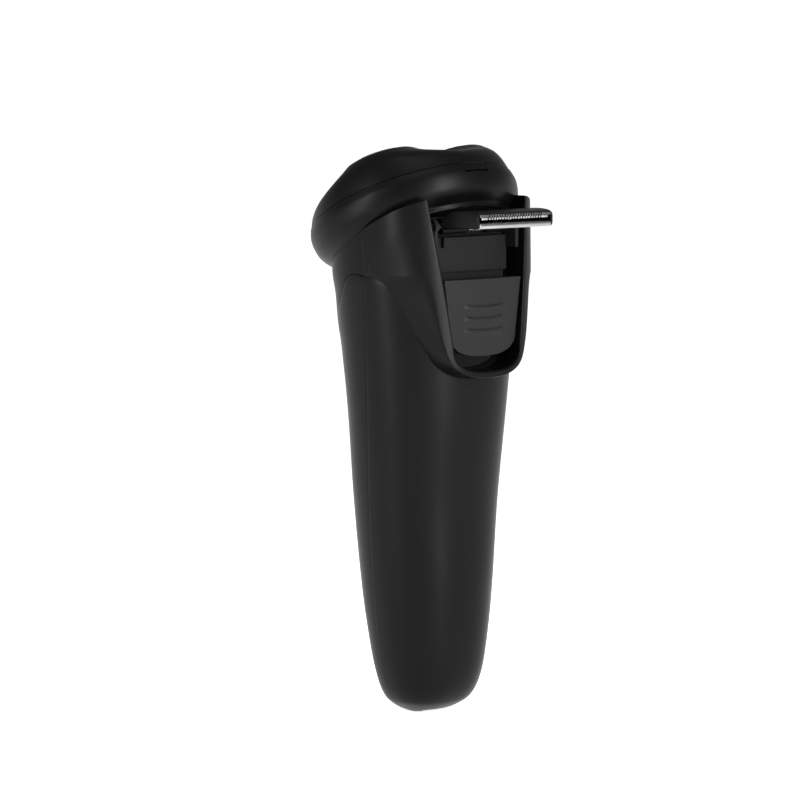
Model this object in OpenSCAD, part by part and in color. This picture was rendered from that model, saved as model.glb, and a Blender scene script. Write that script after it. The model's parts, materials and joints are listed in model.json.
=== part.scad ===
// Rotary electric shaver with three cutters, a flip-open head and a fold-out trimmer.
// +Z runs up the handle, -Y is the front with the power button, +Y is the back with the trimmer.
// The origin is on the small flat under the handle.

/* [Body] */
// Wall thickness of the handle covers
body_wall = 1.8; // [1.6:0.1:2.0]
// Squareness of the handle's section: 2 is an ellipse
body_square = 2.3; // [2.1:0.1:2.5]
// Squareness of the raised rear surround's section
shroud_square = 3.2; // [2.8:0.1:3.4]
// Where the side seam meets the base plane, measured from the origin along Y
seam_start = -3.4; // [-4:0.1:-3]
// Backward lean of the side seam, in degrees
seam_lean = 2.9; // [2.5:0.1:3.2]

/* [Head] */
// Forward tilt of the head, in degrees
head_tilt = 25.5; // [25:0.5:26]
// Height of the head's centre in the plane where it opens
head_z = 142.4; // [142:0.1:142.8]
// Place of the head's centre along Y
head_y = -6.8; // [-7:0.1:-6.6]
// Distance of each cutter's axis from the head's axis
cutter_ring = 14.25; // [14.25:0.25:14.25]
// Radius of the hole that each guard floats in
guard_hole_r = 10.5; // [10.4:0.1:10.6]
// How far each guard can be pressed in
guard_float = 1; // [0.8:0.1:1]

/* [Gears] */
// Gear module
gear_module = 0.5; // [0.5:0.1:0.5]
// Teeth on the motor pinion
pinion_teeth = 17; // [17:1:17]
// Teeth on each drive gear
drive_teeth = 40; // [40:1:40]
// Gap between meshing teeth
gear_play = 0.1; // [0.08:0.01:0.14]

/* [Trimmer] */
// Height of the trimmer's hinge
trim_z = 138; // [137.8:0.1:138.2]
// Place of the trimmer's hinge along Y
trim_y = 19.6; // [19.4:0.1:19.8]
// Reach of the trimmer from its hinge to its cutting edge
trim_reach = 17.3; // [17:0.1:17.5]
// Half width of the trimmer
trim_half = 13.7; // [13.2:0.1:13.8]
// How far the slider moves as the trimmer folds
slider_travel = 3.6; // [3.4:0.1:3.7]

/* [Controls] */
// Radius of the power button
power_r = 7.5; // [7:0.1:7.6]
// Height of the power button's centre
power_z = 90; // [88:1:92]

/* [Hidden] */

// Handle sections: height, half width, depth to the front, depth to the back
BODY = [
  [0, 5.9, 6.6, 2.9],
  [1.3, 8.4, 8.4, 5.8],
  [4, 11.8, 9.6, 9.9],
  [9.3, 14.2, 11.6, 13.5],
  [18, 16, 13.8, 15.6],
  [34, 18, 16.6, 17],
  [60, 19.9, 19.5, 17.9],
  [86, 22, 20.4, 20.3],
  [104, 23.6, 22.2, 21.6],
  [110, 24.2, 23.4, 21.6],
  [118, 25, 23.8, 21.8],
  [124, 25.6, 25, 21.8],
  [152, 26.8, 25.6, 21.2]
];
// Rear surround: height and depth to the back
SHROUD = [[88, 26.6], [101, 26.8], [121, 25.7], [141, 23.9], [152, 23]];
// Head bowl: height above the opening plane and radius
BOWL = [[-11, 26.6], [-6, 29.3], [-2.5, 30], [0, 29.3]];
// Head frame: height above the opening plane and radius
FRAME = [[0.3, 29.2], [2, 28.9], [3.5, 28.2], [4.6, 27], [5.3, 25.3], [5.8, 22.5]];
// Lower edge of the rear surround: half width and height
SHIELD_EDGE = [[0, 95.6], [7, 96.4], [12.8, 99.6], [16.4, 105.4], [19.7, 113], [23.2, 120.8], [25.6, 124.4]];
// Lower edge of the front collar: half width and height
COLLAR_EDGE = [[0, 109.3], [10, 109.8], [17, 111.2], [21, 113.4], [23.5, 116.8], [24.8, 121], [25.8, 125.2]];

body_sides = 60;
body_rings = 22;
body_top = 150;
far = 60;
neck_cut = -11.4;
pinion_r = gear_module * pinion_teeth / 2;
drive_r = gear_module * drive_teeth / 2;
// The cutters stand at these angles round the head's axis: two at the back, one in front
CUTTER_ANGLES = [30, 150, 270];
// Bay mouth: side line from the top to the round bottom end
bay_top_half = 17.5;
bay_top_z = 144;
bay_foot_half = 12;
bay_foot_z = 105;
bay_foot_drop = 6.7;
bay_floor_y = 15.2;
bay_wall = 0.8;
slider_gap = 0.2;
slider_top_z = 123.4;
hinge_y = 28.7;
hinge_h = -1;
hinge_half = 4;
hinge_pin_r = 0.35;
socket_y = 4;
socket_z = 1.9;
battery_r = 7;
battery_y = 2.6;
BOSSES = [[-10.9, 30], [10.9, 30], [-10.9, 82], [10.9, 82]];

// ---- Curves through a table's rows ----

function row_below(t, z, i = 0) = i < len(t) - 2 && z > t[i + 1][0] ? row_below(t, z, i + 1) : i;
function row_slope(t, i, c) =
  let (a = max(i - 1, 0), b = min(i + 1, len(t) - 1)) (t[b][c] - t[a][c]) / (t[b][0] - t[a][0]);
// Column c of table t where its first column is z, by a smooth cubic curve
function curve_at(t, z, c) =
  let (
    i = row_below(t, z),
    gap = t[i + 1][0] - t[i][0],
    s = (z - t[i][0]) / gap,
    s2 = s * s,
    s3 = s2 * s
  )
  (2 * s3 - 3 * s2 + 1) * t[i][c] + (s3 - 2 * s2 + s) * gap * row_slope(t, i, c)
    + (3 * s2 - 2 * s3) * t[i + 1][c] + (s3 - s2) * gap * row_slope(t, i + 1, c);

function rounded_power(v, n) = sign(v) * pow(abs(v), 2 / n);
// One level section of the handle, shrunk by inset
function body_section(z, inset) =
  [for (k = [0:body_sides - 1])
    let (
      a = 360 * k / body_sides,
      half = curve_at(BODY, z, 1) - inset,
      depth = curve_at(BODY, z, sin(a) > 0 ? 3 : 2) - inset
    )
    [half * rounded_power(cos(a), body_square), depth * rounded_power(sin(a), body_square), z]];
// One level section of the rear surround, which is the handle's in front
function shroud_section(z) =
  [for (k = [0:body_sides - 1])
    let (
      a = 360 * k / body_sides,
      n = sin(a) > 0 ? shroud_square : body_square,
      depth = sin(a) > 0 ? curve_at(SHROUD, z, 1) : curve_at(BODY, z, 2)
    )
    [curve_at(BODY, z, 1) * rounded_power(cos(a), n), depth * rounded_power(sin(a), n), z]];

// Closed solid through a stack of sections with equal numbers of points
module loft(sections) {
  n = len(sections[0]);
  m = len(sections);
  polyhedron(
    points = [for (s = sections) each s],
    faces = concat(
      [[for (k = [0:n - 1]) k]],
      [[for (k = [n - 1:-1:0]) (m - 1) * n + k]],
      [for (i = [0:m - 2], k = [0:n - 1])
        [i * n + k, (i + 1) * n + k, (i + 1) * n + (k + 1) % n]],
      [for (i = [0:m - 2], k = [0:n - 1])
        [i * n + k, (i + 1) * n + (k + 1) % n, i * n + (k + 1) % n]]
    )
  );
}

// A free-form cover is cut as one mesh, because none of its faces is a bore or a joint
module as_one_mesh() {
  resize([0, 0, 0]) children();
}

// Solid handle, shrunk by inset, with its rings closer together near the base
module body_solid(inset) {
  top = body_top + (inset > 0 ? 1 : 0);
  loft([for (i = [0:body_rings])
    let (z = inset + (top - inset) * pow(i / body_rings, 1.7)) body_section(z, inset)]);
}

module shroud_solid() {
  loft([for (i = [0:14]) shroud_section(89 + (body_top - 89) * i / 14)]);
}

// Everything on one side of the side seam: side is -1 for the front, 1 for the back
module seam_side(side) {
  translate([0, seam_start, 0])
    rotate([-seam_lean, 0, 0])
      translate([-far, side < 0 ? -2 * far : 0, -20])
        cube([2 * far, 2 * far, 220]);
}

// Head frame of reference: origin at the head's centre, +Z along the cutters' axes
module in_head() {
  translate([0, head_y, head_z])
    rotate([head_tilt, 0, 0])
      children();
}

module at_cutter(i) {
  a = CUTTER_ANGLES[i - 1];
  in_head()
    translate([cutter_ring * cos(a), cutter_ring * sin(a), 0])
      children();
}

module above_neck() {
  in_head()
    translate([-far, -far, neck_cut])
      cube([2 * far, 2 * far, far]);
}

// Extrusion along +Y of an outline drawn in X and Z, from y0 to y1
module along_y(y0, y1) {
  translate([0, y1, 0])
    rotate([90, 0, 0])
      linear_extrude(y1 - y0)
        children();
}

// Mirrored outline above an edge that is given by half width and height
module above_edge(edge) {
  n = 24;
  last = edge[len(edge) - 1];
  right = [for (i = [0:n]) let (x = last[0] * i / n) [x, curve_at(edge, x, 1)]];
  left = [for (i = [n:-1:1]) [-right[i][0], right[i][1]]];
  polygon(concat(
    left, right,
    [[far, last[1]], [far, 170], [-far, 170], [-far, last[1]]]
  ));
}

// Half width of the bay's mouth at a height above its round end
function bay_half(z) =
  bay_foot_half + (bay_top_half - bay_foot_half) * (z - bay_foot_z) / (bay_top_z - bay_foot_z);

// Outline of the bay's mouth, shrunk by inset and lifted, and cut off at top
module bay_outline(inset, lift, top) {
  n = 18;
  foot = [for (i = [0:n])
    let (a = 180 + 180 * i / n)
    [(bay_foot_half - inset) * rounded_power(cos(a), 2.6),
     bay_foot_z + lift + (bay_foot_drop - inset) * rounded_power(sin(a), 2.6)]];
  top_half = bay_half(top - lift) - inset;
  polygon(concat(foot, [[top_half, top], [-top_half, top]]));
}

// Rounded rectangle about the origin
module rounded(w, h, r) {
  square([w - 2 * r, h], center = true);
  square([w, h - 2 * r], center = true);
  for (sx = [-1, 1], sy = [-1, 1])
    translate([sx * (w / 2 - r), sy * (h / 2 - r)])
      circle(r, $fn = 32);
}

module tube(r_out, r_in, h) {
  difference() {
    cylinder(h = h, r = r_out, $fn = 64);
    translate([0, 0, -1]) cylinder(h = h + 2, r = r_in, $fn = 64);
  }
}

// Round bar along X, centred on x = 0
module bar_x(r, length) {
  rotate([0, 90, 0]) cylinder(h = length, r = r, center = true, $fn = 48);
}

// Block given by its lowest and highest corners
module block(low, high) {
  translate(low) cube(high - low);
}

// ---- Involute gears ----

function involute(r, base) = r <= base ? 0 : let (t = sqrt(pow(r / base, 2) - 1)) t * 180 / PI - atan(t);
function gear_points(teeth) =
  let (
    pitch = gear_module * teeth / 2,
    base = pitch * cos(20),
    tip = pitch + 0.9 * gear_module,
    root = pitch - 1.25 * gear_module,
    half = 90 / teeth - gear_play / 4 / pitch * 180 / PI + involute(pitch, base),
    radii = [root, max(root, base), (max(root, base) + pitch) / 2, pitch, (pitch + tip) / 2, tip]
  )
  [for (k = [0:teeth - 1])
    each concat(
      [for (r = radii) let (a = 360 * k / teeth - half + involute(r, base)) r * [cos(a), sin(a)]],
      [for (i = [len(radii) - 1:-1:0])
        let (r = radii[i], a = 360 * k / teeth + half - involute(r, base)) r * [cos(a), sin(a)]]
    )];

// Angle of the drive gear that puts one of its gaps on the nearest pinion tooth
function drive_phase(angle) =
  let (
    pitch = 360 / pinion_teeth,
    offset = round(angle / pitch) * pitch - angle
  )
  angle + 180 - offset * pinion_teeth / drive_teeth + 180 / drive_teeth;

// ---- Covers ----

module front_shell() {
  color([0.16, 0.16, 0.17]) as_one_mesh() difference() {
    union() {
      difference() {
        body_solid(0);
        body_solid(body_wall);
      }
      intersection() {
        body_solid(body_wall / 2);
        for (b = BOSSES)
          translate([b[0], -7, b[1]])
            rotate([90, 0, 0])
              difference() {
                cylinder(h = 20, r = 2.4, $fn = 20);
                translate([0, 0, -1]) cylinder(h = 6, r = 1.2, $fn = 16);
              }
      }
    }
    seam_side(1);
    above_neck();
    along_y(-far, far) above_edge(COLLAR_EDGE);
    translate([0, -far, power_z])
      rotate([-90, 0, 0]) cylinder(h = far, r = power_r + 0.35, $fn = 48);
    along_y(-far, 0) translate([0, power_z - 14]) rounded(9.2, 2.6, 1.29);
  }
}

module rear_shell() {
  color([0.15, 0.15, 0.16]) as_one_mesh() difference() {
    body_solid(0);
    body_solid(body_wall);
    seam_side(-1);
    above_neck();
    along_y(-far, far) above_edge(SHIELD_EDGE);
    translate([0, socket_y, -1]) linear_extrude(8) rounded(9.6, 3.9, 1.9);
  }
}

module front_collar() {
  color([0.13, 0.13, 0.14]) as_one_mesh() difference() {
    intersection() {
      body_solid(0);
      along_y(-far, far) above_edge(COLLAR_EDGE);
    }
    body_solid(body_wall);
    seam_side(1);
    above_neck();
  }
}

module rear_shroud() {
  color([0.17, 0.17, 0.18]) as_one_mesh() difference() {
    intersection() {
      shroud_solid();
      along_y(-far, far) above_edge(SHIELD_EDGE);
    }
    body_solid(body_wall);
    seam_side(-1);
    above_neck();
    along_y(10, far) bay_outline(0, 0, 152);
  }
}

// Lining behind the bay's mouth
module trimmer_bay() {
  color([0.3, 0.3, 0.31]) as_one_mesh() intersection() {
    body_solid(body_wall + 0.1);
    difference() {
      along_y(bay_floor_y - bay_wall, 30) bay_outline(-1.2, 0, 150);
      along_y(bay_floor_y, far) bay_outline(0, 0, 152);
      above_neck();
    }
  }
}

// ---- Head ----

// Points along a radius table, as radius and height
function profile(t, n, inset) =
  [for (i = [0:n])
    let (h = t[0][0] + (t[len(t) - 1][0] - t[0][0]) * i / n) [curve_at(t, h, 1) - inset, h]];

module head_base() {
  color([0.14, 0.14, 0.15]) in_head() difference() {
    union() {
      rotate_extrude($fn = 96)
        polygon(concat(
          profile(BOWL, 10, 0),
          [[27.8, 0], [28.3, -2.5], [27.6, -5.8], [0, -5.8], [0, -7], [25.2, -7], [25.2, -11]]
        ));
      for (a = CUTTER_ANGLES)
        translate([cutter_ring * cos(a), cutter_ring * sin(a), -7])
          cylinder(h = 3.8, r = 3.4, $fn = 48);
      for (p = [[330, 21.5], [210, 21.5], [90, 10.8]])
        translate([p[1] * cos(p[0]), p[1] * sin(p[0]), -9.9])
          cylinder(h = 3.4, r = 1.7, $fn = 32);
    }
    for (a = CUTTER_ANGLES)
      translate([cutter_ring * cos(a), cutter_ring * sin(a), -8])
        cylinder(h = 6, r = 1.65, $fn = 48);
    for (p = [[330, 21.5], [210, 21.5], [90, 10.8]])
      translate([p[1] * cos(p[0]), p[1] * sin(p[0]), -10])
        cylinder(h = 3.2, r = 0.95, $fn = 32);
    block([-hinge_half - 0.25, 27, -2.95], [hinge_half + 0.25, 33, 2]);
    translate([0, hinge_y, hinge_h]) bar_x(hinge_pin_r + 0.02, 10.2);
    block([-5.8, -32, -5.5], [5.8, -24, -1.1]);
    intersection() {
      translate([0, 0, -5.7]) cylinder(h = 4.8, r = 28.6, $fn = 96);
      block([-6.8, -30, -6], [6.8, -24, 0]);
    }
  }
}

module head_hinge_pin() {
  color([0.75, 0.75, 0.76]) in_head()
    translate([0, hinge_y, hinge_h]) bar_x(hinge_pin_r, 10);
}

// Upper half of the head with a round hole and a broad raised ring for each guard
module head_frame() {
  color([0.15, 0.15, 0.16]) in_head() difference() {
    union() {
      difference() {
        rotate_extrude($fn = 96)
          polygon(concat(profile(FRAME, 10, 0), [[18, 6.8], [12, 7.6], [0, 7.8], [0, 0.3]]));
        rotate_extrude($fn = 96)
          polygon([[0, 0], [27.2, 0], [27.2, 2.1], [25.6, 3.2], [0, 5.4]]);
      }
      intersection() {
        for (a = CUTTER_ANGLES)
          translate([cutter_ring * cos(a), cutter_ring * sin(a), 0])
            rotate_extrude($fn = 72)
              polygon([
                [10, 3.9], [14.4, 3.9], [14.3, 7.2], [13.4, 8.1], [12.3, 9.1], [11.3, 10], [10.9, 10.4], [10, 10.5]
              ]);
        rotate_extrude($fn = 96)
          polygon([
            [0, 2], [28.9, 2], [28.6, 3.4], [28.1, 5], [27.4, 6.6], [26.5, 8.2], [25.6, 9.4], [24.4, 10.8], [0, 10.8]
          ]);
      }
      intersection() {
        rotate_extrude($fn = 96) polygon(concat(profile(BOWL, 10, 0), [[0, 0], [0, -11]]));
        block([-hinge_half, 27.5, -2.15], [hinge_half, 31, 0]);
      }
      block([-hinge_half, 27.6, -0.5], [hinge_half, 28.7, 0.6]);
      block([-2.5, -27.2, -4.4], [2.5, -26.2, 3]);
      block([-2.5, -26.3, -4.4], [2.5, -25.3, -3.5]);
    }
    for (a = CUTTER_ANGLES)
      translate([cutter_ring * cos(a), cutter_ring * sin(a), 0]) {
        cylinder(h = 12, r = guard_hole_r, $fn = 72);
        cylinder(h = 3.9, r = 11.6, $fn = 72);
      }
    translate([0, hinge_y, hinge_h]) bar_x(hinge_pin_r + 0.05, 20);
  }
}

// Plate under the cutters that keeps them and the guards in the frame
module guard_retainer() {
  color([0.35, 0.35, 0.36]) in_head() difference() {
    translate([0, 0, 0.6]) cylinder(h = 0.7, r = 26.2, $fn = 96);
    for (a = CUTTER_ANGLES)
      translate([cutter_ring * cos(a), cutter_ring * sin(a), 0]) cylinder(h = 3, r = 7.4, $fn = 48);
    translate([0, -26.2, 0]) cube([12, 4, 5], center = true);
  }
}

// Steel cap with a slotted ring
module guard(i) {
  slots = 30;
  color([0.78, 0.78, 0.8]) at_cutter(i) difference() {
    rotate_extrude($fn = 72)
      polygon([
        [11.2, 3], [11.2, 3.6], [10.2, 3.6], [10.2, 9.5], [9.8, 10.4], [8.9, 10.9], [7.2, 11], [5.8, 10.7],
        [5.4, 10.3], [0, 10.3], [0, 9.8], [5.6, 9.8], [6.2, 10.2], [7.2, 10.5], [8.7, 10.45], [9.4, 10],
        [9.7, 9.3], [9.7, 3]
      ]);
    for (k = [0:slots - 1])
      rotate([0, 0, 360 * k / slots]) translate([6.2, -0.2, 9.9]) cube([3.1, 0.4, 2]);
  }
}

// Ring of upright blades on a hub that the spindle drives
module cutter(i) {
  blades = 12;
  color([0.66, 0.67, 0.7]) at_cutter(i) difference() {
    union() {
      translate([0, 0, 2.7]) cylinder(h = 0.8, r = 8.8, $fn = 64);
      translate([0, 0, 2.7]) cylinder(h = 4, r = 3.2, $fn = 48);
      for (k = [0:blades - 1])
        rotate([0, 0, 360 * k / blades]) translate([6.2, -0.25, 3.4]) cube([2.5, 0.5, 6.4]);
    }
    translate([0, 0, 2]) cylinder(h = 3.2, r = 2, $fn = 48);
    for (k = [0:5])
      rotate([0, 0, 60 * k + 15]) translate([4.7, 0, 2]) cylinder(h = 2, r = 0.9, $fn = 24);
  }
}

// Shaft from the gear to the cutter, with a flatted driving tip
module spindle(i) {
  color([0.85, 0.85, 0.82]) at_cutter(i) {
    translate([0, 0, -9.6]) cylinder(h = 10.6, r = 1.6, $fn = 48);
    translate([0, 0, -10.6]) cylinder(h = 1, r = 1.2, $fn = 48);
    translate([0, 0, 1]) difference() {
      cylinder(h = 2.1, r = 1.5, $fn = 48);
      for (s = [-1, 1])
        translate([s * 2.1, 0, 1.6]) cube([2, 4, 3], center = true);
    }
  }
}

module drive_gear(i) {
  color([0.9, 0.9, 0.86]) at_cutter(i) {
    difference() {
      union() {
        translate([0, 0, -9.6])
          rotate([0, 0, drive_phase(CUTTER_ANGLES[i - 1])])
            linear_extrude(1.8) polygon(gear_points(drive_teeth));
        translate([0, 0, -8]) cylinder(h = 0.7, r = 3, $fn = 48);
      }
      translate([0, 0, -11]) cylinder(h = 5, r = 1.62, $fn = 48);
      for (k = [0:5])
        rotate([0, 0, 60 * k]) translate([6.3, 0, -11]) cylinder(h = 5, r = 1.6, $fn = 32);
    }
  }
}

// Lip seals on the three spindle posts
module spindle_seals() {
  color([0.1, 0.1, 0.1]) for (i = [1:3])
    at_cutter(i) translate([0, 0, -3.15]) tube(3, 1.9, 0.8);
}

module gearbox_cover() {
  color([0.5, 0.5, 0.52]) in_head() difference() {
    union() {
      translate([0, 0, -11]) cylinder(h = 1, r = 25.1, $fn = 96);
      for (s = [-1, 1])
        translate([s * 18.2 - 1, -4, -16]) cube([2, 8, 5.2]);
    }
    translate([0, 0, -12]) cylinder(h = 3, r = 5.2, $fn = 48);
    for (a = CUTTER_ANGLES)
      translate([cutter_ring * cos(a), cutter_ring * sin(a), -12]) cylinder(h = 3, r = 1.25, $fn = 48);
    for (p = [[330, 21.5], [210, 21.5], [90, 10.8]])
      translate([p[1] * cos(p[0]), p[1] * sin(p[0]), -12]) cylinder(h = 3, r = 1.1, $fn = 32);
  }
}

// Pan-head screw pointing along +Z with its head below z = 0
module screw(r, head_r, length) {
  cylinder(h = length, r = r, $fn = 32);
  difference() {
    translate([0, 0, -0.8]) cylinder(h = 0.8, r = head_r, $fn = 48);
    for (a = [0, 90])
      rotate([0, 0, a]) translate([-head_r * 0.6, -0.2, -1]) cube([head_r * 1.2, 0.4, 0.6]);
  }
}

module gearbox_screws() {
  color([0.7, 0.7, 0.72]) in_head()
    for (p = [[330, 21.5], [210, 21.5], [90, 10.8]])
      translate([p[1] * cos(p[0]), p[1] * sin(p[0]), -11.02]) screw(0.93, 1.7, 3.8);
}

// ---- Motor ----

motor_r = 8.2;
motor_top = -11.5;
motor_end = -29;

module motor_can() {
  color([0.72, 0.73, 0.75]) in_head() {
    difference() {
      translate([0, 0, motor_end]) cylinder(h = motor_top - motor_end, r = motor_r, $fn = 72);
      translate([0, 0, motor_end + 1]) cylinder(h = motor_top - motor_end - 2, r = 7.4, $fn = 72);
      translate([0, 0, motor_end - 1]) cylinder(h = 30, r = 1.05, $fn = 48);
    }
  }
}

module motor_rotor() {
  color([0.72, 0.45, 0.2]) in_head() {
    translate([0, 0, motor_end - 0.6]) cylinder(h = 22, r = 1, $fn = 48);
    for (k = [0:2])
      rotate([0, 0, 120 * k])
        translate([0, 0, motor_end + 4])
          linear_extrude(9) {
            translate([0, -1]) square([5.8, 2]);
            intersection() {
              difference() {
                circle(6.6, $fn = 64);
                circle(5.4, $fn = 64);
              }
              polygon([[0, 0], [8, -6], [8, 6]]);
            }
          }
    translate([0, 0, motor_end + 1.6]) cylinder(h = 2, r = 2.4, $fn = 48);
  }
}

module motor_pinion() {
  color([0.83, 0.72, 0.4]) in_head() difference() {
    translate([0, 0, -9.9]) linear_extrude(2.3) polygon(gear_points(pinion_teeth));
    translate([0, 0, -11]) cylinder(h = 5, r = 1, $fn = 48);
  }
}

// Clamp ring round the motor on a leg that stands on the chassis
module motor_cradle() {
  color([0.4, 0.4, 0.42]) {
    in_head() translate([0, 0, -24]) tube(9.6, 8.25, 8);
    block([-6, -7, 102], [6, -5.6, 121]);
  }
}

function unit(v) = v / norm(v);
// Round wire through a list of points: one ring at each, square to the path
module wire(points, r) {
  sides = 10;
  last = len(points) - 1;
  loft([for (i = [0:last])
    let (
      along = unit(points[min(i + 1, last)] - points[max(i - 1, 0)]),
      u = unit(cross([0, 1, 0], along)),
      v = cross(along, u)
    )
    [for (k = [0:sides - 1]) let (a = 360 * k / sides) points[i] + r * (cos(a) * u + sin(a) * v)]]);
}

module motor_leads() {
  color([0.7, 0.1, 0.08]) for (s = [-1, 1])
    wire([[s * 5, -9.3, 96], [s * 5.2, -9.3, 99.6], [s * 5.9, -9.3, 102], [s * 7.3, -7.2, 104.8],
          [s * 7.6, -3, 106.6], [s * 6.4, 2, 109.2], [s * 4.8, 5.2, 112.4], [s * 4.2, 6, 115.2]], 0.6);
}

// ---- Inside the handle ----

module chassis() {
  color([0.45, 0.46, 0.48]) difference() {
    union() {
      block([-13, -7, 26], [13, -5.6, 102]);
      block([-9.5, -7, 19], [9.5, -5.6, 27]);
      block([-8.4, -5.7, 20.6], [8.4, 9, 22]);
      block([-8.4, -5.7, 76.2], [8.4, 9, 77.6]);
      for (s = [-1, 1])
        block([s * 8.1 - 0.6, -5.7, 20.6], [s * 8.1 + 0.6, 1, 77.6]);
    }
    for (b = BOSSES)
      translate([b[0], 0, b[1]]) rotate([90, 0, 0]) cylinder(h = 20, r = 1.25, $fn = 32);
    for (s = [-1, 1])
      translate([s * 4, 0, 94]) rotate([90, 0, 0]) cylinder(h = 20, r = 1.5, $fn = 32);
  }
}

module chassis_screws() {
  color([0.7, 0.7, 0.72]) for (b = BOSSES)
    translate([b[0], -5.6, b[1]]) rotate([90, 0, 0]) screw(1.1, 2, 4);
}

module battery_cell() {
  color([0.25, 0.5, 0.35]) {
    translate([0, battery_y, 23]) cylinder(h = 50, r = battery_r, $fn = 72);
    translate([0, battery_y, 73]) cylinder(h = 1.4, r = 2.6, $fn = 48);
  }
}

module battery_contacts() {
  color([0.8, 0.75, 0.6]) {
    block([-3, battery_y - 3, 22.1], [3, battery_y + 3, 22.9]);
    block([-3, battery_y - 3, 74.5], [3, battery_y + 3, 75.1]);
    block([-1.5, battery_y - 1, 75], [1.5, battery_y + 1, 76.1]);
  }
}

module circuit_board() {
  color([0.1, 0.35, 0.18]) difference() {
    block([-6.8, -8.6, 22], [6.8, -7.6, 101]);
    for (z = [26, 62])
      translate([0, -9, z]) rotate([-90, 0, 0]) cylinder(h = 3, r = 1, $fn = 32);
  }
}

// Chips, coil and capacitors soldered to the board
module board_parts() {
  color([0.08, 0.08, 0.09]) {
    block([-3, -9.8, 50], [3, -8.6, 56]);
    block([-2, -9.6, 40], [2.4, -8.6, 44]);
    for (z = [30, 34])
      block([-4, -9.4, z], [-2, -8.6, z + 1.2]);
    for (x = [-3, 0, 3])
      block([x - 0.8, -9.5, power_z - 14.8], [x + 0.8, -8.6, power_z - 13.2]);
    translate([3.4, -8.6, 68]) rotate([90, 0, 0]) cylinder(h = 3, r = 2.2, $fn = 48);
  }
}

module power_switch() {
  color([0.2, 0.2, 0.2]) {
    block([-3, -12, power_z - 3], [3, -8.6, power_z + 3]);
    translate([0, -12, power_z]) rotate([90, 0, 0]) cylinder(h = 1, r = 1.7, $fn = 48);
  }
}

// Domed round key with a rim behind the cover and a stem to the switch
module power_button() {
  color([0.2, 0.2, 0.21]) translate([0, 0, power_z]) rotate([90, 0, 0])
    rotate_extrude($fn = 72)
      polygon([
        [0, 13.9], [1.8, 13.9], [1.8, 15.6], [8.6, 15.6], [8.6, 16.4], [power_r, 16.4],
        [power_r, 20.3], [power_r - 0.4, 20.7], [5, 21.1], [2.5, 21.3], [0, 21.4]
      ]);
}

module light_window() {
  color([0.75, 0.78, 0.8])
    along_y(-20.2, -15.5) translate([0, power_z - 14]) rounded(8.8, 2.2, 1.09);
}

// Inlet with a thin metal sleeve and a contact tongue
module charging_socket() {
  color([0.72, 0.72, 0.74]) translate([0, socket_y, socket_z]) {
    linear_extrude(7.4) difference() {
      rounded(9.2, 3.5, 1.74);
      rounded(8.7, 3, 1.49);
    }
    translate([0, 0, 6.4]) linear_extrude(1) rounded(8.9, 3.2, 1.5);
    translate([0, 0, 1.2]) linear_extrude(5.4) square([6.6, 0.7], center = true);
  }
}

module socket_seal() {
  color([0.12, 0.12, 0.12]) translate([0, socket_y, socket_z + 2]) linear_extrude(1.2) difference() {
    rounded(11, 5.2, 2.5);
    rounded(9.24, 3.54, 1.76);
  }
}

// Key in the front of the bowl beside the frame's catch, kept in by its wider inner rim
module release_button() {
  color([0.12, 0.12, 0.13]) in_head() difference() {
    union() {
      block([-5.5, -30.4, -5.2], [5.5, -26, -1.4]);
      intersection() {
        translate([0, 0, -5.2]) cylinder(h = 3.8, r = 28.5, $fn = 96);
        block([-6.3, -30, -6], [6.3, -26, 0]);
      }
    }
    translate([0, 0, -6]) cylinder(h = 6, r = 28, $fn = 96);
    for (k = [-1, 0, 1])
      translate([-4, -30.8, -3.3 + k - 0.2]) cube([8, 0.7, 0.4]);
  }
}

// ---- Trimmer, folded out ----

module in_trimmer() {
  translate([0, trim_y, trim_z]) children();
}

// Panel at the back of the bay with an ear at each end for the hinge pin
module trimmer_bracket() {
  color([0.4, 0.4, 0.41]) difference() {
    union() {
      block([-14.4, 15.3, 125.2], [14.4, 16.9, 134.7]);
      block([-9.5, 16.5, 131.9], [9.5, 18.2, 134.7]);
      for (s = [-1, 1]) {
        translate([s * 14.7, trim_y, trim_z]) bar_x(2, 1.1);
        block([s * 14.7 - 0.55, 15.4, 131.4], [s * 14.7 + 0.55, trim_y + 1.4, trim_z + 0.6]);
        block([s * 14.2 - 0.6, 15.3, 131.4], [s * 14.2 + 0.6, 16.9, 134.7]);
      }
    }
    in_trimmer() bar_x(0.92, 40);
  }
}

module trimmer_hinge_pin() {
  color([0.75, 0.75, 0.76]) in_trimmer() bar_x(0.9, 30.4);
}

// Closely wound torsion spring in the middle of the hinge
module trimmer_spring() {
  turns = 9;
  color([0.7, 0.7, 0.72]) in_trimmer() for (k = [0:turns - 1])
    translate([(k - (turns - 1) / 2) * 0.6, 0, 0])
      rotate([0, 90, 0])
        rotate_extrude($fn = 48) translate([1.6, 0]) circle(0.31, $fn = 20);
}

lever_y = 8.8;

// Hinge barrel, floor and lever post of the trimmer
module trimmer_arm() {
  color([0.16, 0.16, 0.17]) in_trimmer() difference() {
    union() {
      for (s = [-1, 1])
        translate([s * 8, 0, 0]) bar_x(2.3, 9.2);
      for (s = [-1, 1])
        block([s * 8 - 4.6, 0, -0.9], [s * 8 + 4.6, 3.2, 1.6]);
      block([-13.3, 2.8, -0.1], [13.3, 13.6, 0.9]);
      translate([0, lever_y, 0]) cylinder(h = 3.1, r = 1, $fn = 32);
    }
    bar_x(0.95, 40);
  }
}

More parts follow.
